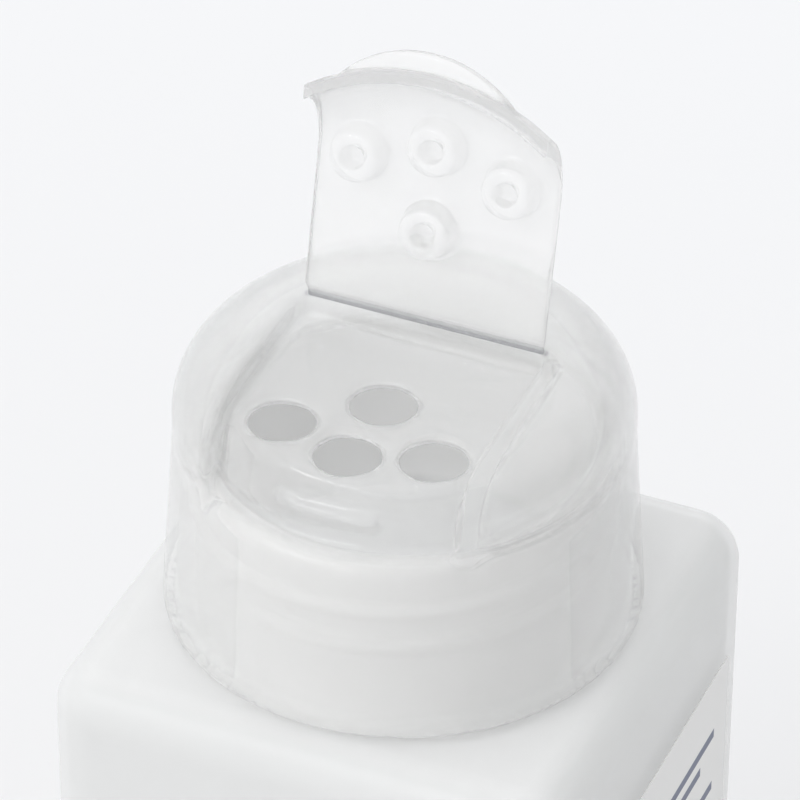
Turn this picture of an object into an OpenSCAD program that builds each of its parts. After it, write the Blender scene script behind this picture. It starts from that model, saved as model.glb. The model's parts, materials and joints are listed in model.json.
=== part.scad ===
// Square powder shaker bottle with a screw cap. The cap's sifter floor has four
// holes, and a hinged flap with four plugs closes them.
// The origin is the middle of the base, +Z is up and -Y is the front of the cap.
// Lengths are in millimetres.

/* [Body] */
// Width and depth of the square body
body_side = 59; // [57:0.5:72]
// Height of the body up to the flat shoulder
body_h = 108; // [90:1:160]
// Wall thickness of the blown body
body_wall = 1; // [0.8:0.1:1.6]
// Radius of the four upright corners
corner_r = 6; // [5.5:0.5:9]
// Radius of the edges round the shoulder and the base
edge_r = 5; // [3:0.5:5.5]
// Height of the pushed-up panel in the base
push_up = 1.6; // [1:0.1:3]
// Width of the standing ring round that panel
stand_w = 8; // [7:0.5:12]

/* [Neck] */
// Outer radius of the neck
neck_r = 22.2; // [20.5:0.1:22.4]
// Wall thickness of the neck
neck_wall = 1.9; // [1.4:0.1:2.2]
// Height of the neck above the shoulder
neck_h = 21.1; // [19:0.1:26]
// Radius where the neck meets the shoulder
neck_fillet = 1.2; // [0.5:0.1:1.5]

/* [Cap] */
// Room for the threads between the neck and the cap where the dome meets the skirt
thread_room = 1; // [0.9:0.1:1.4]
// How much wider the skirt is at its lower end
skirt_flare = 1.4; // [0.4:0.1:2]
// Wall thickness of the cap
cap_wall = 1.3; // [1:0.1:1.4]
// Height of the dome above the skirt
dome_h = 10.3; // [9.5:0.1:12]
// Radius of the dome's round edge
dome_edge_r = 7.5; // [6:0.1:8]
// Gap between the skirt's lower end and the shoulder
skirt_gap = 0.75; // [0.5:0.05:2]
// Height of the ledge in front of the sifter above the skirt
ledge_h = 0.35; // [0.2:0.05:0.6]
// Width of that ledge, out to the edge of the cap
ledge_w = 3.1; // [2.8:0.1:3.4]
// Lean of the wall between the ledge and the sifter floor from the vertical, in degrees
step_lean = 11; // [6:0.5:12]
// Radius of the edge at the top of that wall
step_edge_r = 2; // [1.8:0.1:2.6]
// Length of the snap ridge on that wall
snap_l = 11.5; // [8:0.5:16]
// How far the snap ridge stands out
snap_reach = 1.1; // [0.6:0.1:1.2]
// Height of the snap ridge above the ledge
snap_rise = 3.3; // [2.8:0.1:3.5]

/* [Sifter] */
// Depth of the sifter floor below the dome's flat top
floor_drop = 2.8; // [2.6:0.1:3.2]
// Diameter of each sifter hole
hole_d = 7.1; // [6.6:0.1:7.6]
// Distance from the three front holes to the foot of the wall in front of them
hole_front = 2.8; // [2.6:0.1:3.4]
// Distance from the two side holes to the side walls of the recess
hole_side = 1.65; // [1:0.05:2.2]
// Distance from the back hole to the back wall of the recess
hole_back = 7.65; // [7:0.05:8.6]

/* [Flap] */
// Width of the flap
flap_w = 27; // [25.5:0.1:28]
// Thickness of the flap
flap_t = 1.4; // [1.2:0.1:1.6]
// Gap between the flap and the walls of its recess
flap_gap = 0.25; // [0.2:0.05:0.4]
// Distance of the hinge line behind the cap's axis
hinge_y = 5.5; // [4.8:0.1:6.5]
// Radius of the hinge bead
hinge_r = 0.35; // [0.3:0.05:0.45]
// Running clearance round the hinge bead
hinge_gap = 0.06; // [0.04:0.01:0.08]
// Angle that the flap stands open, in degrees
open_angle = 103.3; // [95:0.1:120]
// Gap between the flap's lower edge and the ledge
lip_gap = 2.9; // [2.4:0.1:3.2]
// Width of the thumb tab
tab_w = 19.6; // [14:0.1:22]
// How far the thumb tab stands out of the dome
tab_reach = 2.3; // [1.5:0.1:3]
// Thickness of the thumb tab
tab_t = 1.3; // [1:0.1:1.6]
// Gap between each plug and its hole
plug_gap = 0.35; // [0.3:0.05:0.5]
// Height of each plug
plug_h = 2.7; // [2.2:0.1:3]
// How much a plug's radius shrinks towards its tip
plug_draft = 0.35; // [0.2:0.05:0.5]
// Diameter of the dimple in each plug
dimple_d = 2.4; // [1.6:0.1:3]

/* [Label] */
// Thickness of the label
label_t = 0.1; // [0.08:0.01:0.2]
// Distance from the shoulder down to the label's upper edge
label_drop = 15.8; // [10:0.1:24]
// Distance from the base up to the label's lower edge
label_foot = 13; // [8:0.5:24]
// Distance from the label's upright edges to the body's round corners
label_margin = 1; // [0.5:0.1:6]

/* [Hidden] */
fine = 96;
eps = 0.01;
// Extra length that carries a cut past the face it opens
past = 5;

neck_in_r = neck_r - neck_wall;
rim_z = body_h + neck_h;
cap_r = neck_r + thread_room + cap_wall;
skirt_r = cap_r + skirt_flare;
step_r = cap_r - ledge_w;
// The cap's seat ring lies on the neck's rim
ledge_z = rim_z + cap_wall;
waist_z = ledge_z - ledge_h;
top_z = waist_z + dome_h;
skirt_z = body_h + skirt_gap;
floor_z = top_z - floor_drop;
dome_flat_r = cap_r - dome_edge_r;
dome_edge_z = top_z - dome_edge_r;

// Middle of the round edge between the sifter floor and the wall in front of it
step_edge_z = floor_z - step_edge_r;
step_edge_x = step_r - (step_edge_z - ledge_z) * tan(step_lean) - step_edge_r / cos(step_lean);

recess_w = flap_w + 2 * flap_gap;
flap_front_r = cap_r - flap_t;
lip_z = ledge_z + lip_gap;
// The back of the flap is bevelled under the hinge bead, so that it can swing past upright
bevel_y = hinge_r + hinge_gap;

// Three holes lie on an arc round the cap's axis, and the fourth is behind the middle one
hole_r = hole_d / 2;
hole_arc_r = step_r - hole_front - hole_r;
side_hole_x = recess_w / 2 - hole_side - hole_r;
side_hole_y = sqrt(hole_arc_r * hole_arc_r - side_hole_x * side_hole_x);
hole_places = [
    [-side_hole_x, -side_hole_y],
    [side_hole_x, -side_hole_y],
    [0, -hole_arc_r],
    [0, hinge_y - hole_back - hole_r]
];
plug_r = hole_r - plug_gap;

label_w = body_side - 2 * (corner_r + label_margin);
label_h = body_h - label_drop - label_foot;

// Upright profile through the middle of a box with round upper and lower edges
module round_slab(width, height, r) {
    for (side = [-1, 1])
        for (level = [r, height - r])
            translate([side * (width / 2 - r), level]) circle(r, $fn = fine);
    translate([-width / 2, r]) square([width, height - 2 * r]);
    translate([-width / 2 + r, 0]) square([width - 2 * r, height]);
}

// Square box with round upright corners and round upper and lower edges
module round_box(width, height, corner, r) {
    core = width / 2 - corner;
    for (turn = [0, 90])
        rotate([90, 0, turn])
            linear_extrude(2 * core, center = true) round_slab(width, height, r);
    for (turn = [0:90:270])
        rotate([0, 0, turn]) translate([core, core, 0])
            rotate_extrude($fn = fine)
                intersection() {
                    round_slab(2 * corner, height, r);
                    square([corner, height]);
                }
}

// Ring that rounds the corner between the neck and the shoulder
module neck_root() {
    translate([0, 0, body_h])
        rotate_extrude($fn = fine)
            difference() {
                translate([neck_r - eps, -eps]) square(neck_fillet + eps);
                translate([neck_r + neck_fillet, neck_fillet]) circle(neck_fillet, $fn = fine);
            }
}

module bottle() {
    color([0.95, 0.95, 0.96, 0.9]) {
        difference() {
            union() {
                round_box(body_side, body_h, corner_r, edge_r);
                translate([0, 0, body_h - edge_r]) cylinder(neck_h + edge_r, r = neck_r, $fn = fine);
                neck_root();
            }
            difference() {
                translate([0, 0, body_wall])
                    round_box(body_side - 2 * body_wall, body_h - 2 * body_wall,
                        corner_r - body_wall, edge_r - body_wall);
                base_panel(body_wall);
            }
            base_panel(0);
            translate([0, 0, body_h - edge_r]) cylinder(neck_h + edge_r + past, r = neck_in_r, $fn = fine);
        }
    }
}

// Pushed-up panel in the base, grown by a wall thickness for the inside
module base_panel(grow) {
    width = body_side - 2 * stand_w + 2 * grow;
    r = push_up / 2 + grow;
    translate([0, 0, -past])
        round_box(width, past + push_up + grow, corner_r, r);
}

module label() {
    color([0.79, 0.79, 0.785])
        translate([body_side / 2, -label_w / 2, label_foot])
            cube([label_t, label_w, label_h]);
}

// Solid of revolution inside the dome's outer face, shrunk by an inset
module dome(inset, low_z) {
    rotate_extrude($fn = fine)
        intersection() {
            union() {
                translate([dome_flat_r, dome_edge_z]) circle(dome_edge_r - inset, $fn = fine);
                square([dome_flat_r, top_z - inset]);
                square([cap_r - inset, dome_edge_z]);
            }
            translate([0, low_z]) square([cap_r, top_z - low_z]);
        }
}

// Tapered skirt of the cap, shrunk by an inset
module skirt(inset, low_z) {
    rotate_extrude($fn = fine)
        polygon([
            [0, waist_z],
            [cap_r - inset, waist_z],
            [skirt_r - inset, skirt_z],
            [skirt_r - inset, low_z],
            [0, low_z]
        ]);
}

// Block under the sifter floor and behind the wall in front of it, shrunk by an inset
module step_block(inset) {
    foot_x = step_r - inset / cos(step_lean);
    edge_r = step_edge_r - inset;
    rotate_extrude($fn = fine) {
        translate([step_edge_x, step_edge_z]) circle(edge_r, $fn = fine);
        polygon([
            [0, ledge_z - cap_wall - past],
            [0, floor_z - inset],
            [step_edge_x, floor_z - inset],
            [step_edge_x + edge_r * cos(step_lean), step_edge_z + edge_r * sin(step_lean)],
            [foot_x, ledge_z],
            [foot_x, ledge_z - cap_wall - past]
        ]);
    }
}

// Space that the closed flap fills, grown by a wall thickness for the inside of the cap
module flap_space(grow) {
    difference() {
        translate([-recess_w / 2 - grow, -skirt_r - past, ledge_z - grow])
            cube([recess_w + 2 * grow, skirt_r + past + hinge_y + grow, top_z - ledge_z + grow + past]);
        step_block(grow);
    }
}

module snap_ridge() {
    ridge_r = 0.8;
    ridge_z = ledge_z + snap_rise;
    wall_r = step_r - snap_rise * tan(step_lean);
    intersection() {
        rotate_extrude($fn = fine)
            translate([wall_r + snap_reach - ridge_r, ridge_z]) circle(ridge_r, $fn = 32);
        translate([-snap_l / 2, -cap_r, floor_z - 2 * floor_drop])
            cube([snap_l, cap_r, 2 * floor_drop]);
    }
}

module cap() {
    color([0.9, 0.91, 0.91, 0.6]) {
        difference() {
            union() {
                dome(0, waist_z);
                skirt(0, skirt_z);
            }
            difference() {
                union() {
                    dome(cap_wall, waist_z - eps);
                    skirt(cap_wall, skirt_z - past);
                }
                flap_space(cap_wall);
                seat_ring();
            }
            flap_space(0);
            for (place = hole_places)
                translate([place[0], place[1], floor_z - cap_wall - past])
                    cylinder(cap_wall + 2 * past, r = hole_r, $fn = fine);
            hinge_line() cylinder(recess_w, r = hinge_r + hinge_gap, center = true, $fn = 48);
        }
        snap_ridge();
    }
}

// Flat ring inside the cap that seals on the neck's rim
module seat_ring() {
    translate([0, 0, ledge_z - cap_wall])
        difference() {
            cylinder(cap_wall, r = cap_r, $fn = fine);
            translate([0, 0, -past])
                cylinder(cap_wall + 2 * past, r = step_r - cap_wall / cos(step_lean), $fn = fine);
        }
}

// Puts a child that lies along Z onto the hinge line
module hinge_line() {
    translate([0, hinge_y, top_z]) rotate([0, 90, 0]) children();
}

module plug(place) {
    tip_r = plug_r - plug_draft;
    round_r = 0.8;
    under_z = top_z - flap_t;
    translate([place[0], place[1], under_z])
        rotate_extrude($fn = fine)
            difference() {
                union() {
                    polygon([
                        [0, eps],
                        [plug_r, eps],
                        [plug_r, 0],
                        [tip_r, round_r - plug_h],
                        [0, round_r - plug_h]
                    ]);
                    translate([tip_r - round_r, round_r - plug_h]) circle(round_r, $fn = 48);
                    translate([0, -plug_h]) square([tip_r - round_r, round_r]);
                }
                translate([0, -plug_h - eps]) square([dimple_d / 2, plug_h * 0.7]);
                translate([-past, -plug_h - eps]) square([past, plug_h + 3 * eps]);
            }
}

// Thumb tab along the lower edge of the flap's front
module thumb_tab() {
    half = tab_w / 2;
    root_y = sqrt(cap_r * cap_r - half * half);
    sag = cap_r + tab_reach - root_y;
    tab_r = (half * half + sag * sag) / (2 * sag);
    translate([0, 0, lip_z])
        difference() {
            translate([0, tab_r - cap_r - tab_reach, 0]) cylinder(tab_t, r = tab_r, $fn = fine);
            translate([0, 0, -past]) cylinder(tab_t + 2 * past, r = flap_front_r + eps, $fn = fine);
        }
}

// Plate and front of the flap, where they lie when it is shut
module shut_flap() {
    difference() {
        intersection() {
            dome(0, lip_z);
            translate([-flap_w / 2, -cap_r - past, lip_z])
                cube([flap_w, cap_r + past + hinge_y - bevel_y, dome_h]);
        }
        dome(flap_t, lip_z - past);
        translate([0, hinge_y - bevel_y, top_z - hinge_r])
            rotate([90, 0, 90])
                linear_extrude(flap_w + past, center = true)
                    polygon([[past, 0], [0, 0], [hinge_r - flap_t, hinge_r - flap_t], [past, hinge_r - flap_t]]);
    }
    thumb_tab();
    for (place = hole_places) plug(place);
    hinge_line() cylinder(flap_w, r = hinge_r, center = true, $fn = 48);
    translate([-flap_w / 2, hinge_y - bevel_y - eps, top_z - hinge_r])
        cube([flap_w, bevel_y + eps, hinge_r]);
}

module flap() {
    color([0.9, 0.91, 0.91, 0.6])
        translate([0, hinge_y, top_z])
            rotate([-open_angle, 0, 0])
                translate([0, -hinge_y, -top_z]) shut_flap();
}

bottle();
label();
cap();
flap();
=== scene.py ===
import json
import math

import bmesh
import bpy
from mathutils import Matrix, Vector
from mathutils.bvhtree import BVHTree


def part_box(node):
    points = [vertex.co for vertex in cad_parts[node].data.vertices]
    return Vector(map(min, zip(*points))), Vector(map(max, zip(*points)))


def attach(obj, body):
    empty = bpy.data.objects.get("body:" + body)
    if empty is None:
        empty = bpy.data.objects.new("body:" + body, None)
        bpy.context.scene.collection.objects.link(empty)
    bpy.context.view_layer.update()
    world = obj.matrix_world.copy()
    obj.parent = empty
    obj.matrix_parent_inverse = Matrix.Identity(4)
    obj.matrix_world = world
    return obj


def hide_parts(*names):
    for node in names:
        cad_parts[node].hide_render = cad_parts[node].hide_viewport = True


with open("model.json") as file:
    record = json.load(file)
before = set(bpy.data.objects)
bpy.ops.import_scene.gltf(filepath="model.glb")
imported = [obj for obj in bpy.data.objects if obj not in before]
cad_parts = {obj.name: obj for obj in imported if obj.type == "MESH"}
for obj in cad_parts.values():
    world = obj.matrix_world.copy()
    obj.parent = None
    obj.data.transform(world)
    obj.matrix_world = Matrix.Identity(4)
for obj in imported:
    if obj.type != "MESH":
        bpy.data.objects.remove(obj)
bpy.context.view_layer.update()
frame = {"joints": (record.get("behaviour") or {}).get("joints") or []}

# Powder detergent shaker bottle: square bottle with a round neck and a thread, screw cap with a
# sifter floor, and a flap with four plugs. Shapes are made in millimetres and turned into metres.
MM = 0.001


def box_mm(node):
    """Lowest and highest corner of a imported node, in millimetres."""
    low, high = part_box(node)
    return Vector(low) / MM, Vector(high) / MM


# Places that come from the frame
BOTTLE_HIGH = box_mm("bottle")[1]
CAP_LOW, CAP_HIGH = box_mm("cap")
LABEL_LOW, LABEL_HIGH = box_mm("label")
HINGE = next(joint for joint in frame["joints"] if joint["name"] == "flap_hinge")
HINGE_Y = HINGE["pos_m"][1] / MM
OPEN_ANGLE = math.radians(-HINGE["range_deg"][0])
BODY_HALF = BOTTLE_HIGH.x
RIM_Z = BOTTLE_HIGH.z
SKIRT_R = CAP_HIGH.x
SKIRT_Z = CAP_LOW.z
TOP_Z = CAP_HIGH.z

# Bottle
BODY_H = 108.0
BODY_WALL = 1.0
CORNER_R = 6.0
EDGE_R = 5.0
PUSH_UP = 1.6
STAND_W = 8.0
NECK_R = 22.2
NECK_BORE_R = 20.3
NECK_FILLET = 1.2
RIM_EDGE_R = 0.45
THREAD_PITCH = 4.5
THREAD_HALF_W = 1.0
THREAD_REACH = 0.75
THREAD_DROP = 3.3
THREAD_TURNS = 1.75
THREAD_START = math.radians(150)

# Half of the thread's line from its flank to its crest: share of its reach, share of its half width
THREAD_LINE = [(0.0, 1.0), (0.55, 0.7), (0.9, 0.35), (1.0, 0.0)]

# Cap
CAP_WALL = 1.3
CAP_R = NECK_R + 1.0 + CAP_WALL
DOME_EDGE_R = 7.5
WAIST_Z = TOP_Z - 10.3
LEDGE_Z = WAIST_Z + 0.35
STEP_R = CAP_R - 3.1
STEP_LEAN = math.radians(11)
STEP_EDGE_R = 2.0
FLOOR_Z = TOP_Z - 2.8
SNAP_L = 11.5
SNAP_R = 0.8
SNAP_Z = LEDGE_Z + 3.3
SNAP_LINE_R = STEP_R - 3.3 * math.tan(STEP_LEAN) + 1.1 - SNAP_R

# Flap, as it lies when it is shut
FLAP_W = 27.0
FLAP_T = 1.4
RECESS_HALF = FLAP_W / 2 + 0.25
HINGE_R = 0.35
HINGE_GAP = 0.06
FLAP_BACK_Y = HINGE_Y - HINGE_R - HINGE_GAP
LIP_Z = LEDGE_Z + 2.9
TAB_W = 19.6
TAB_REACH = 2.3
TAB_T = 1.3

# Shaker holes and the plugs that close them
HOLE_R = 3.55
HOLE_ARC_R = STEP_R - 2.8 - HOLE_R
SIDE_HOLE_X = RECESS_HALF - 1.65 - HOLE_R
SIDE_HOLE_Y = -math.sqrt(HOLE_ARC_R**2 - SIDE_HOLE_X**2)
BACK_HOLE_Y = HINGE_Y - 7.65 - HOLE_R
HOLES = [(-SIDE_HOLE_X, SIDE_HOLE_Y), (SIDE_HOLE_X, SIDE_HOLE_Y), (0, -HOLE_ARC_R), (0, BACK_HOLE_Y)]
PLUG_R = HOLE_R - 0.35
PLUG_DRAFT = 0.35
PLUG_H = 2.7
PLUG_EDGE_R = 0.8
DIMPLE_R = 1.2

# Printed bars on the label, in place of words: middle in Y and Z, width and height
LABEL_BARS = [
    (2, 84, 33, 1.2),
    (0, 81.4, 29, 1.2),
    (2, 76.4, 33, 1.2),
    (-2, 73.8, 25, 1.2),
    (0, 62, 33, 0.8),
    (0, 59, 33, 0.8),
    (0, 56, 33, 0.8),
    (-6, 53, 21, 0.8),
    (0, 20, 33, 0.8),
]

# Camera, found from the photograph's ellipses and edges
CAM_AZIMUTH = math.radians(22.985)
CAM_ELEVATION = math.radians(36.85)
CAM_ROLL = math.radians(-0.34)
CAM_DISTANCE = 629.5
CAM_SLIDE = (-0.484, 3.033)
CAM_LENS = 268.8

# Studio light: the room's level, how it changes towards +X, +Y and +Z, and a dark card low on the right
ROOM_LEVEL = 0.79
ROOM_SLANT = (-0.08, -0.1, 0.4)
CARD_WAY = (0.91, -0.1, -0.4)
CARD_DEPTH = 0.95

# Key light, in metres and watts
KEY_PLACE = (-0.5, -0.88, 1.13)
KEY_WIDTH = 0.9
KEY_HEIGHT = 0.1
KEY_POWER = 4

# How dense each plastic is, from 0, clear, to 1, solid
BODY_MILK = 0.46
NECK_MILK = 0.7
CAP_MILK = 0.6
FLAP_MILK = 0.8

# Voxel sizes and smoothing rounds for the moulded edges
CAP_VOXEL = 0.44
FLAP_VOXEL = 0.2
MOULD_ROUNDS = 5


# Moulding tools


def arc(centre, radius, start, end, count=12):
    """Profile points along an arc, from one angle to another in degrees."""
    turns = [math.radians(start + (end - start) * i / count) for i in range(count + 1)]
    return [(centre[0] + radius * math.cos(a), centre[1] + radius * math.sin(a)) for a in turns]


def spun(profile, angle=math.tau, steps=256, rise=0.0, closed=False):
    """A profile of (radius, height) points spun about the upright axis, or screwed up it."""
    bm = bmesh.new()
    verts = [bm.verts.new((r, 0, z)) for r, z in profile]
    loop = verts + verts[:1] if closed else verts
    geom = verts + [bm.edges.new(pair) for pair in zip(loop, loop[1:])]
    whole = angle == math.tau
    if not whole:
        geom.append(bm.faces.new(verts))
    bmesh.ops.spin(bm, geom=geom, cent=(0, 0, 0), axis=(0, 0, 1), dvec=(0, 0, rise / steps),
                   angle=angle, steps=steps, use_merge=whole)
    bmesh.ops.remove_doubles(bm, verts=bm.verts, dist=1e-4)
    bmesh.ops.recalc_face_normals(bm, faces=bm.faces)
    return bm


def rod(centre, radius, low_z, high_z, segments=96):
    """An upright round rod."""
    bm = bmesh.new()
    bmesh.ops.create_cone(bm, cap_ends=True, segments=segments, radius1=radius, radius2=radius,
                          depth=high_z - low_z)
    bmesh.ops.translate(bm, vec=(*centre, (low_z + high_z) / 2), verts=bm.verts)
    return bm


def slab(low, high, corner_r=0.0, edge_r=0.0, across="z"):
    """A box between two corners, with round edges along one axis and then round rims."""
    bm = bmesh.new()
    bmesh.ops.create_cube(bm, size=1)
    bmesh.ops.scale(bm, vec=Vector(high) - Vector(low), verts=bm.verts)
    bmesh.ops.translate(bm, vec=(Vector(high) + Vector(low)) / 2, verts=bm.verts)
    axis = "xyz".index(across)

    def level(edge):
        return edge.verts[0].co[axis], edge.verts[1].co[axis]

    for offset, segments, along in ((corner_r, 16, True), (edge_r, 12, False)):
        if offset:
            middle = (low[axis] + high[axis]) / 2
            edges = [e for e in bm.edges if (min(level(e)) < middle < max(level(e))) == along]
            bmesh.ops.bevel(bm, geom=edges, offset=offset, segments=segments, profile=0.5,
                            affect="EDGES", material=-1)
    return bm


def as_piece(name, bm):
    """A Blender object from a bmesh."""
    mesh = bpy.data.meshes.new(name)
    bm.to_mesh(mesh)
    bm.free()
    piece = bpy.data.objects.new(name, mesh)
    bpy.context.scene.collection.objects.link(piece)
    return piece


def reshape(piece, work):
    """Runs a function on the bmesh of a piece."""
    bm = bmesh.new()
    bm.from_mesh(piece.data)
    work(bm)
    bm.to_mesh(piece.data)
    bm.free()


def apply_modifiers(piece):
    bpy.context.view_layer.update()
    done = piece.evaluated_get(bpy.context.evaluated_depsgraph_get())
    mesh = bpy.data.meshes.new_from_object(done)
    piece.modifiers.clear()
    old, piece.data = piece.data, mesh
    bpy.data.meshes.remove(old)


def combine(piece, bm, operation):
    """Cuts a tool out of a piece, or adds it."""
    tool = as_piece("tool", bm)
    modifier = piece.modifiers.new("combine", "BOOLEAN")
    modifier.operation = operation
    modifier.solver = "EXACT"
    modifier.object = tool
    apply_modifiers(piece)
    bpy.data.objects.remove(tool)


def gather(piece, shells):
    """Puts more closed shells into a piece, for mould() to fuse."""
    def work(bm):
        for shell in shells:
            mesh = bpy.data.meshes.new("shell")
            shell.to_mesh(mesh)
            shell.free()
            bm.from_mesh(mesh)
            bpy.data.meshes.remove(mesh)
    reshape(piece, work)


def mould(piece, voxel, rounds, keep=0.07):
    """Fuses the shells of a piece and rounds its edges, as a moulding has them.

    Points that end within keep of the shells go back onto them, so only the edges change.
    """
    exact = bmesh.new()
    exact.from_mesh(piece.data)
    shells = BVHTree.FromBMesh(exact)
    exact.free()
    modifier = piece.modifiers.new("fuse", "REMESH")
    modifier.mode = "VOXEL"
    modifier.voxel_size = voxel
    apply_modifiers(piece)

    def work(bm):
        for _ in range(rounds):
            bmesh.ops.smooth_vert(bm, verts=bm.verts, factor=0.5, use_axis_x=True, use_axis_y=True,
                                  use_axis_z=True)
        for vert in bm.verts:
            spot, _, _, gap = shells.find_nearest(vert.co)
            vert.co = vert.co.lerp(spot, max(0, min(1, 2 - 2 * gap / keep)))
    reshape(piece, work)


def finish_piece(piece, sharp=None):
    """Turns a piece into metres and smooths its shading, with edges over an angle kept sharp."""
    piece.data.transform(Matrix.Scale(MM, 4))
    piece.data.shade_smooth()
    if sharp:
        piece.data.set_sharp_from_angle(angle=math.radians(sharp))
        weighted = piece.modifiers.new("even_shading", "WEIGHTED_NORMAL")
        weighted.keep_sharp = True
    return piece


# Bottle


def thread(wall_r, top_z):
    """A round-topped thread that sinks into its wall at both ends."""
    half_w = THREAD_HALF_W
    turns = THREAD_TURNS
    profile = [(wall_r - 0.5, top_z - half_w), (wall_r - 0.5, top_z + half_w)]
    for share, offset in THREAD_LINE + [(share, -offset) for share, offset in THREAD_LINE[-2::-1]]:
        profile.append((wall_r + THREAD_REACH * share, top_z + half_w * offset))
    steps = round(120 * turns)
    bm = spun(profile, -math.tau * turns, steps, -THREAD_PITCH * turns, closed=True)
    # Fade the ends into the wall
    for vert in bm.verts:
        down = (top_z - vert.co.z) / THREAD_PITCH
        turned = -math.atan2(vert.co.y, vert.co.x) / math.tau
        along = turned + round(down - turned)
        fade = min(1, max(0, min(along, turns - along)) / 0.06)
        radius = math.hypot(vert.co.x, vert.co.y)
        if radius > wall_r:
            level = (wall_r + (radius - wall_r) * fade - 0.05 * (1 - fade)) / radius
            vert.co.x *= level
            vert.co.y *= level
    bmesh.ops.rotate(bm, matrix=Matrix.Rotation(THREAD_START, 3, "Z"), verts=bm.verts)
    return bm


def make_bottle():
    """Square blown body, round neck with its thread, and a pushed-up base."""
    half, wall = BODY_HALF, BODY_WALL
    panel = half - STAND_W
    bottle = as_piece("bottle_shell", slab((-half, -half, 0), (half, half, BODY_H), CORNER_R, EDGE_R))
    neck = [(0, BODY_H - 4), (NECK_R - 0.6, BODY_H - 4), (NECK_R + NECK_FILLET, BODY_H - 0.02)]
    neck += arc((NECK_R + NECK_FILLET, BODY_H + NECK_FILLET), NECK_FILLET, 270, 180)
    neck += arc((NECK_R - RIM_EDGE_R, RIM_Z - RIM_EDGE_R), RIM_EDGE_R, 0, 90, 5) + [(0, RIM_Z)]
    combine(bottle, spun(neck), "UNION")
    combine(bottle, thread(NECK_R, RIM_Z - THREAD_DROP), "UNION")
    combine(bottle, slab((-panel, -panel, -9), (panel, panel, PUSH_UP), CORNER_R, PUSH_UP / 2), "DIFFERENCE")
    inner = half - wall
    cavity = as_piece("cavity", slab((-inner, -inner, wall), (inner, inner, BODY_H - wall),
                                     CORNER_R - wall, EDGE_R - wall))
    grown = panel + wall
    combine(cavity, slab((-grown, -grown, -9), (grown, grown, PUSH_UP + wall), CORNER_R, PUSH_UP / 2 + wall),
            "DIFFERENCE")
    bore = [(0, BODY_H - 4), (NECK_BORE_R, BODY_H - 4)]
    bore += arc((NECK_BORE_R + RIM_EDGE_R, RIM_Z - RIM_EDGE_R), RIM_EDGE_R, 180, 90, 5)
    bore += [(NECK_BORE_R + RIM_EDGE_R, RIM_Z + 2), (0, RIM_Z + 2)]
    combine(cavity, spun(bore), "UNION")
    hollow = bmesh.new()
    hollow.from_mesh(cavity.data)
    bpy.data.objects.remove(cavity)
    combine(bottle, hollow, "DIFFERENCE")
    return finish_piece(bottle, sharp=35)


def make_label():
    """A thin film with small round corners."""
    low = LABEL_LOW + Vector((0.01, 0, 0))
    label = as_piece("label_film", slab(low, LABEL_HIGH, corner_r=0.6, across="x"))
    return finish_piece(label, sharp=35)


# Cap


def dome_line(inset):
    """Profile of the dome from its top to where its side is upright, shrunk by an inset."""
    centre = (CAP_R - DOME_EDGE_R, TOP_Z - DOME_EDGE_R)
    return [(0, TOP_Z - inset)] + arc(centre, DOME_EDGE_R - inset, 90, 0, 24)


def step_block():
    """What stays of the cap under the flap: the sifter floor and the leaning wall in front of it."""
    edge_z = FLOOR_Z - STEP_EDGE_R
    edge_r = STEP_R - (edge_z - LEDGE_Z) * math.tan(STEP_LEAN) - STEP_EDGE_R / math.cos(STEP_LEAN)
    profile = [(0, FLOOR_Z)] + arc((edge_r, edge_z), STEP_EDGE_R, 90, math.degrees(STEP_LEAN))
    return spun(profile + [(STEP_R, LEDGE_Z), (STEP_R, LEDGE_Z - 5), (0, LEDGE_Z - 5)])


def make_cap():
    """Skirt and dome with the space for the flap sunk in, sifter floor, seal ring and snap ridge."""
    waist = [(CAP_R, WAIST_Z + 0.3), (CAP_R - 0.12, WAIST_Z), (CAP_R + 0.06, WAIST_Z - 0.5)]
    cap = as_piece("cap_shell", spun(dome_line(0) + waist + [(SKIRT_R, SKIRT_Z), (0, SKIRT_Z)]))
    space = as_piece("space", slab((-RECESS_HALF, -40, LEDGE_Z), (RECESS_HALF, HINGE_Y, TOP_Z + 5), 0.8))
    combine(space, step_block(), "DIFFERENCE")
    tool = bmesh.new()
    tool.from_mesh(space.data)
    bpy.data.objects.remove(space)
    combine(cap, tool, "DIFFERENCE")

    def open_skirt(bm):
        under = [f for f in bm.faces if f.normal.z < -0.9 and f.calc_center_median().z < SKIRT_Z + 0.1]
        bmesh.ops.delete(bm, geom=under, context="FACES")
    reshape(cap, open_skirt)
    wall = cap.modifiers.new("wall", "SOLIDIFY")
    wall.thickness = CAP_WALL
    wall.offset = -1
    wall.use_even_offset = True
    apply_modifiers(cap)
    for place in HOLES:
        combine(cap, rod(place, HOLE_R, FLOOR_Z - 5, FLOOR_Z + 5), "DIFFERENCE")

    ring_r = STEP_R - CAP_WALL / math.cos(STEP_LEAN)
    ring_low, ring_high = LEDGE_Z - CAP_WALL, LEDGE_Z
    ring = [(ring_r, ring_low), (CAP_R - 0.6, ring_low), (CAP_R - 0.6, ring_high), (ring_r, ring_high)]
    angle = SNAP_L / SNAP_LINE_R
    ridge = spun(arc((SNAP_LINE_R, SNAP_Z), SNAP_R, 0, 337.5, 15), angle, 24, closed=True)
    bmesh.ops.rotate(ridge, matrix=Matrix.Rotation(-(math.pi + angle) / 2, 3, "Z"), verts=ridge.verts)
    gather(cap, [spun(ring, closed=True), ridge])
    mould(cap, CAP_VOXEL, MOULD_ROUNDS)
    return finish_piece(cap)


# Flap


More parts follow.
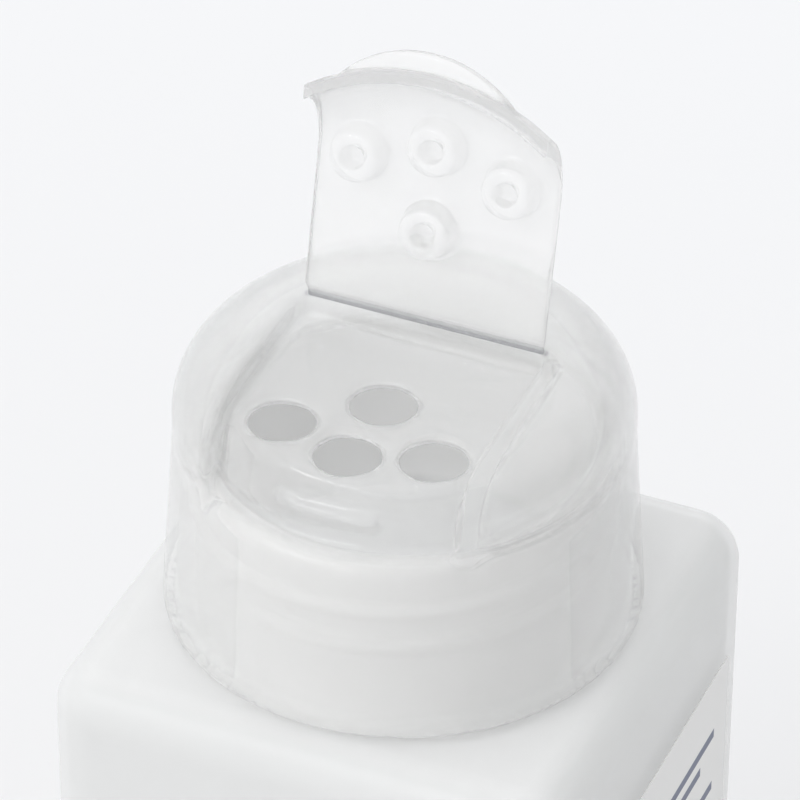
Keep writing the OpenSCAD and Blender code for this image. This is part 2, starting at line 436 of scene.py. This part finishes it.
def flap_plug(place):
    """A plug under the flap, with a draft, a round tip and a dimple in it."""
    root_z = TOP_Z - FLAP_T
    tip_z, tip_r = root_z - PLUG_H, PLUG_R - PLUG_DRAFT
    profile = [(0, root_z + 0.5), (PLUG_R + 0.2, root_z + 0.5), (PLUG_R + 0.2, root_z)]
    profile += [(PLUG_R, root_z - 0.2)]
    profile += arc((tip_r - PLUG_EDGE_R, tip_z + PLUG_EDGE_R), PLUG_EDGE_R, 0, -90, 6)
    profile += [(DIMPLE_R + 0.15, tip_z), (DIMPLE_R - 0.1, tip_z + PLUG_H * 0.7), (0, tip_z + PLUG_H * 0.7)]
    bm = spun(profile, steps=64)
    bmesh.ops.translate(bm, vec=(*place, 0), verts=bm.verts)
    return bm


def make_flap():
    """Part of the dome's shell cut to the flap's width, with its tab, plugs and hinge bead."""
    outer = dome_line(0) + [(CAP_R, LIP_Z)]
    inner = dome_line(FLAP_T) + [(CAP_R - FLAP_T, LIP_Z)]
    bm = spun(outer + inner[::-1])
    cuts = [
        ((FLAP_W / 2, 0, 0), (1, 0, 0)),
        ((-FLAP_W / 2, 0, 0), (-1, 0, 0)),
        ((0, FLAP_BACK_Y, 0), (0, 1, 0)),
        ((0, FLAP_BACK_Y, TOP_Z - HINGE_R), (0, 1, -1)),
    ]
    for place, facing in cuts:
        geom = bm.verts[:] + bm.edges[:] + bm.faces[:]
        cut = bmesh.ops.bisect_plane(bm, geom=geom, dist=1e-4, plane_co=place, plane_no=facing,
                                     clear_outer=True)
        rim = [part for part in cut["geom_cut"] if isinstance(part, bmesh.types.BMEdge)]
        bmesh.ops.edgeloop_fill(bm, edges=rim)
    bmesh.ops.recalc_face_normals(bm, faces=bm.faces)
    flap = as_piece("flap_shell", bm)

    half = TAB_W / 2
    sag = CAP_R + TAB_REACH - math.sqrt(CAP_R**2 - half**2)
    tab_r = (half**2 + sag**2) / (2 * sag)
    tab = as_piece("tab", rod((0, tab_r - CAP_R - TAB_REACH), tab_r, LIP_Z, LIP_Z + TAB_T, 160))
    combine(tab, rod((0, 0), CAP_R - FLAP_T + 0.05, LIP_Z - 2, LIP_Z + 4, 256), "DIFFERENCE")
    tab_mesh = bmesh.new()
    tab_mesh.from_mesh(tab.data)
    bpy.data.objects.remove(tab)
    bead = rod((0, 0), HINGE_R, -FLAP_W / 2, FLAP_W / 2, 32)
    bmesh.ops.rotate(bead, matrix=Matrix.Rotation(math.pi / 2, 3, "Y"), verts=bead.verts)
    bmesh.ops.translate(bead, vec=(0, HINGE_Y, TOP_Z), verts=bead.verts)
    web = slab((-FLAP_W / 2, FLAP_BACK_Y - 0.1, TOP_Z - HINGE_R), (FLAP_W / 2, HINGE_Y, TOP_Z))
    gather(flap, [tab_mesh, bead, web] + [flap_plug(place) for place in HOLES])
    mould(flap, FLAP_VOXEL, MOULD_ROUNDS)
    hinge = Matrix.Translation((0, HINGE_Y, TOP_Z))
    flap.data.transform(hinge @ Matrix.Rotation(-OPEN_ANGLE, 4, "X") @ hinge.inverted())
    return finish_piece(flap)


# Materials


def new_material(name):
    material = bpy.data.materials.new(name)
    material.use_nodes = True
    nodes = material.node_tree.nodes
    return material, nodes, material.node_tree.links, nodes["Principled BSDF"]


def plastic_grain():
    """Node group: the fine unevenness of moulded plastic and broad slow clouds in it."""
    group = bpy.data.node_groups.new("plastic_grain", "ShaderNodeTree")
    group.interface.new_socket("Scale", in_out="INPUT", socket_type="NodeSocketFloat")
    group.interface.new_socket("Height", in_out="OUTPUT", socket_type="NodeSocketFloat")
    group.interface.new_socket("Cloud", in_out="OUTPUT", socket_type="NodeSocketFloat")
    nodes, links = group.nodes, group.links
    entry = nodes.new("NodeGroupInput")
    leave = nodes.new("NodeGroupOutput")
    place = nodes.new("ShaderNodeTexCoord")
    fine = nodes.new("ShaderNodeTexNoise")
    fine.inputs["Detail"].default_value = 1
    broad = nodes.new("ShaderNodeTexNoise")
    broad.inputs["Scale"].default_value = 45
    broad.inputs["Detail"].default_value = 1
    links.new(place.outputs["Object"], fine.inputs["Vector"])
    links.new(place.outputs["Object"], broad.inputs["Vector"])
    links.new(entry.outputs["Scale"], fine.inputs["Scale"])
    links.new(fine.outputs["Fac"], leave.inputs["Height"])
    links.new(broad.outputs["Fac"], leave.inputs["Cloud"])
    return group


GRAIN = plastic_grain()


def add_grain(material, scale, strength, rough_low, rough_high, distance=0.00005):
    """Bump and a slowly changing roughness for a plastic."""
    nodes, links = material.node_tree.nodes, material.node_tree.links
    shader = nodes["Principled BSDF"]
    grain = nodes.new("ShaderNodeGroup")
    grain.node_tree = GRAIN
    grain.inputs["Scale"].default_value = scale
    bump = nodes.new("ShaderNodeBump")
    bump.inputs["Strength"].default_value = strength
    bump.inputs["Distance"].default_value = distance
    spread = nodes.new("ShaderNodeMapRange")
    spread.inputs["To Min"].default_value = rough_low
    spread.inputs["To Max"].default_value = rough_high
    links.new(grain.outputs["Height"], bump.inputs["Height"])
    links.new(grain.outputs["Cloud"], spread.inputs["Value"])
    links.new(bump.outputs["Normal"], shader.inputs["Normal"])
    links.new(spread.outputs["Result"], shader.inputs["Roughness"])
    return grain


def ramp(material, source, low, high, out_low, out_high):
    """Smooth change of a value between two places along a source."""
    nodes, links = material.node_tree.nodes, material.node_tree.links
    node = nodes.new("ShaderNodeMapRange")
    node.interpolation_type = "SMOOTHSTEP"
    node.inputs["From Min"].default_value = low
    node.inputs["From Max"].default_value = high
    node.inputs["To Min"].default_value = out_low
    node.inputs["To Max"].default_value = out_high
    links.new(source, node.inputs["Value"])
    return node.outputs["Result"]


def bottle_plastic():
    """Milky blown plastic that passes light to the inside, denser and whiter where the neck is thick."""
    material, nodes, links, shader = new_material("bottle_plastic")
    shader.inputs["IOR"].default_value = 1.5
    place = nodes.new("ShaderNodeTexCoord")
    split = nodes.new("ShaderNodeSeparateXYZ")
    links.new(place.outputs["Object"], split.inputs["Vector"])
    low, high = (BODY_H - 1) * MM, (BODY_H + 1) * MM
    milk = nodes.new("ShaderNodeMix")
    milk.data_type = "RGBA"
    milk.inputs["A"].default_value = (0.9, 0.905, 0.9, 1)
    milk.inputs["B"].default_value = (0.985, 0.985, 0.98, 1)
    links.new(ramp(material, split.outputs["Z"], low, high, 0, 1), milk.inputs["Factor"])
    links.new(milk.outputs["Result"], shader.inputs["Base Color"])
    links.new(ramp(material, split.outputs["Z"], low, high, BODY_MILK, NECK_MILK), shader.inputs["Alpha"])
    add_grain(material, 900, 0.12, 0.36, 0.44)
    return material


def cap_plastic():
    """Hazy clear plastic of the cap and the flap, with a glossy skin and painted shade along the hinge
    crease.
    """
    material, nodes, links, shader = new_material("cap_plastic")
    shader.inputs["Transmission Weight"].default_value = 0.76
    shader.inputs["IOR"].default_value = 1.2
    shader.inputs["Coat Weight"].default_value = 0.8
    shader.inputs["Coat Roughness"].default_value = 0.1
    place = nodes.new("ShaderNodeTexCoord")
    # Distance from the hinge line, which places the painted shade: along it, only what lies past its ends
    # counts
    split = nodes.new("ShaderNodeSeparateXYZ")
    span = nodes.new("ShaderNodeMath")
    span.operation = "ABSOLUTE"
    past = nodes.new("ShaderNodeMath")
    past.operation = "SUBTRACT"
    past.use_clamp = True
    past.inputs[1].default_value = FLAP_W / 2 * MM
    spot = nodes.new("ShaderNodeCombineXYZ")
    reach = nodes.new("ShaderNodeVectorMath")
    reach.operation = "DISTANCE"
    reach.inputs[1].default_value = (0, HINGE_Y * MM, TOP_Z * MM)
    links.new(place.outputs["Object"], split.inputs["Vector"])
    links.new(split.outputs["X"], span.inputs[0])
    links.new(span.outputs["Value"], past.inputs[0])
    links.new(past.outputs["Value"], spot.inputs["X"])
    links.new(split.outputs["Y"], spot.inputs["Y"])
    links.new(split.outputs["Z"], spot.inputs["Z"])
    links.new(spot.outputs["Vector"], reach.inputs[0])
    # Painted shade: the base colour turns grey within about half a millimetre of the hinge line, where the
    # gap between flap and cap lies in shade
    painted_hinge_shade = nodes.new("ShaderNodeMix")
    painted_hinge_shade.data_type = "RGBA"
    painted_hinge_shade.inputs["A"].default_value = (0.42, 0.43, 0.45, 1)
    painted_hinge_shade.inputs["B"].default_value = (0.985, 0.985, 0.98, 1)
    links.new(ramp(material, reach.outputs["Value"], 0.0003, 0.0006, 0, 1), painted_hinge_shade.inputs["Factor"])
    links.new(painted_hinge_shade.outputs["Result"], shader.inputs["Base Color"])
    # The raised flap is the thicker wall, so it is the milkier one
    low, high = (TOP_Z + 0.5) * MM, (TOP_Z + 2) * MM
    dense = ramp(material, split.outputs["Z"], low, high, CAP_MILK, FLAP_MILK)
    links.new(dense, shader.inputs["Alpha"])
    add_grain(material, 700, 0.08, 0.22, 0.27)
    return material


def label_paper():
    """Satin film of the label, with plain printed bars."""
    material, nodes, links, shader = new_material("label_film")
    place = nodes.new("ShaderNodeTexCoord")
    split = nodes.new("ShaderNodeSeparateXYZ")
    links.new(place.outputs["Object"], split.inputs["Vector"])
    ink = None
    for y, z, width, height in LABEL_BARS:
        sides = []
        for axis, middle, half in (("Y", y, width / 2), ("Z", z, height / 2)):
            off = nodes.new("ShaderNodeMath")
            off.operation = "SUBTRACT"
            off.inputs[1].default_value = middle * MM
            away = nodes.new("ShaderNodeMath")
            away.operation = "ABSOLUTE"
            links.new(split.outputs[axis], off.inputs[0])
            links.new(off.outputs["Value"], away.inputs[0])
            sides.append(ramp(material, away.outputs["Value"], (half - 0.05) * MM, (half + 0.05) * MM, 1, 0))
        bar = nodes.new("ShaderNodeMath")
        bar.operation = "MULTIPLY"
        links.new(sides[0], bar.inputs[0])
        links.new(sides[1], bar.inputs[1])
        if ink:
            both = nodes.new("ShaderNodeMath")
            both.operation = "MAXIMUM"
            links.new(ink, both.inputs[0])
            links.new(bar.outputs["Value"], both.inputs[1])
            ink = both.outputs["Value"]
        else:
            ink = bar.outputs["Value"]
    colour = nodes.new("ShaderNodeMix")
    colour.data_type = "RGBA"
    colour.inputs["A"].default_value = (0.89, 0.89, 0.88, 1)
    colour.inputs["B"].default_value = (0.16, 0.18, 0.26, 1)
    links.new(ink, colour.inputs["Factor"])
    links.new(colour.outputs["Result"], shader.inputs["Base Color"])
    add_grain(material, 600, 0.1, 0.42, 0.5)
    return material


def dress(piece, body, node, material):
    """Gives a piece its body, the node that it stands for and its material."""
    piece.data.materials.clear()
    piece.data.materials.append(material)
    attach(piece, body)
    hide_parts(node)


def make_pieces():
    cap_material = cap_plastic()
    dress(make_bottle(), "bottle", "bottle", bottle_plastic())
    dress(make_label(), "bottle", "label", label_paper())
    dress(make_cap(), "cap", "cap", cap_material)
    dress(make_flap(), "flap", "flap", cap_material)


# Stage


def make_camera():
    a, e = CAM_AZIMUTH, CAM_ELEVATION
    back = Vector((math.sin(a) * math.cos(e), -math.cos(a) * math.cos(e), math.sin(e)))
    right = Vector((math.cos(a), math.sin(a), 0))
    rows = Matrix.Rotation(CAM_ROLL, 3, "Z") @ Matrix((right, back.cross(right), back))
    turned = rows.transposed()
    place = turned @ Vector((*CAM_SLIDE, CAM_DISTANCE)) + Vector((0, 0, WAIST_Z))
    data = bpy.data.cameras.new("camera")
    data.lens = CAM_LENS
    data.clip_end = 50
    camera = bpy.data.objects.new("camera", data)
    camera.matrix_world = Matrix.Translation(place * MM) @ turned.to_4x4()
    bpy.context.scene.collection.objects.link(camera)
    bpy.context.scene.camera = camera


def area_light(name, place, aim, width, height, power):
    """A softbox that faces a point, with its width level."""
    data = bpy.data.lights.new(name, "AREA")
    data.shape = "RECTANGLE"
    data.size = width
    data.size_y = height
    data.energy = power
    light = bpy.data.objects.new(name, data)
    light.location = place
    light.rotation_euler = (Vector(place) - Vector(aim)).to_track_quat("Z", "Y").to_euler()
    bpy.context.scene.collection.objects.link(light)


def make_floor():
    """Pale floor with painted light: its colour is a little lighter towards the back, standing in for how
    light falls off across a studio sweep.
    """
    bm = bmesh.new()
    bmesh.ops.create_grid(bm, x_segments=1, y_segments=1, size=6)
    floor = as_piece("floor", bm)
    material, nodes, links, shader = new_material("floor")
    shader.inputs["Roughness"].default_value = 0.9
    place = nodes.new("ShaderNodeTexCoord")
    split = nodes.new("ShaderNodeSeparateXYZ")
    depth = nodes.new("ShaderNodeMapRange")
    depth.inputs["From Min"].default_value = -0.05
    depth.inputs["From Max"].default_value = 0.3
    # Painted light: the floor colour is mixed from darker near the front to lighter towards the back
    painted_light_falloff = nodes.new("ShaderNodeMix")
    painted_light_falloff.data_type = "RGBA"
    painted_light_falloff.inputs["A"].default_value = (0.785, 0.78, 0.78, 1)
    painted_light_falloff.inputs["B"].default_value = (0.85, 0.855, 0.865, 1)
    links.new(place.outputs["Object"], split.inputs["Vector"])
    links.new(split.outputs["Y"], depth.inputs["Value"])
    links.new(depth.outputs["Result"], painted_light_falloff.inputs["Factor"])
    links.new(painted_light_falloff.outputs["Result"], shader.inputs["Base Color"])
    floor.data.materials.append(material)


def make_world():
    """Soft white room: brightest overhead, dimmer to the right, and plain white to the camera."""
    world = bpy.data.worlds.new("studio")
    world.use_nodes = True
    nodes, links = world.node_tree.nodes, world.node_tree.links
    background = nodes["Background"]
    background.inputs["Color"].default_value = (0.985, 0.99, 1.0, 1)
    place = nodes.new("ShaderNodeTexCoord")
    level = nodes.new("ShaderNodeMath")
    level.operation = "ADD"
    level.inputs[1].default_value = ROOM_LEVEL
    slant = nodes.new("ShaderNodeVectorMath")
    slant.operation = "DOT_PRODUCT"
    slant.inputs[1].default_value = ROOM_SLANT
    way = nodes.new("ShaderNodeVectorMath")
    way.operation = "DOT_PRODUCT"
    way.inputs[1].default_value = CARD_WAY
    card = nodes.new("ShaderNodeMapRange")
    card.interpolation_type = "SMOOTHSTEP"
    card.inputs["From Min"].default_value = 0.3
    card.inputs["From Max"].default_value = 0.9
    card.inputs["To Max"].default_value = CARD_DEPTH
    dimmed = nodes.new("ShaderNodeMath")
    dimmed.operation = "SUBTRACT"
    seen = nodes.new("ShaderNodeLightPath")
    shown = nodes.new("ShaderNodeMath")
    shown.operation = "MAXIMUM"
    links.new(place.outputs["Generated"], slant.inputs[0])
    links.new(slant.outputs["Value"], level.inputs[0])
    links.new(seen.outputs["Is Camera Ray"], shown.inputs[0])
    links.new(place.outputs["Generated"], way.inputs[0])
    links.new(way.outputs["Value"], card.inputs["Value"])
    links.new(level.outputs["Value"], dimmed.inputs[0])
    links.new(card.outputs["Result"], dimmed.inputs[1])
    links.new(dimmed.outputs["Value"], shown.inputs[1])
    links.new(shown.outputs["Value"], background.inputs["Strength"])
    bpy.context.scene.world = world


def make_stage():
    make_world()
    make_floor()
    area_light("key", KEY_PLACE, (0, 0, WAIST_Z * MM), KEY_WIDTH, KEY_HEIGHT, KEY_POWER)
    bpy.context.scene.view_settings.view_transform = "Standard"


make_pieces()
make_stage()
make_camera()
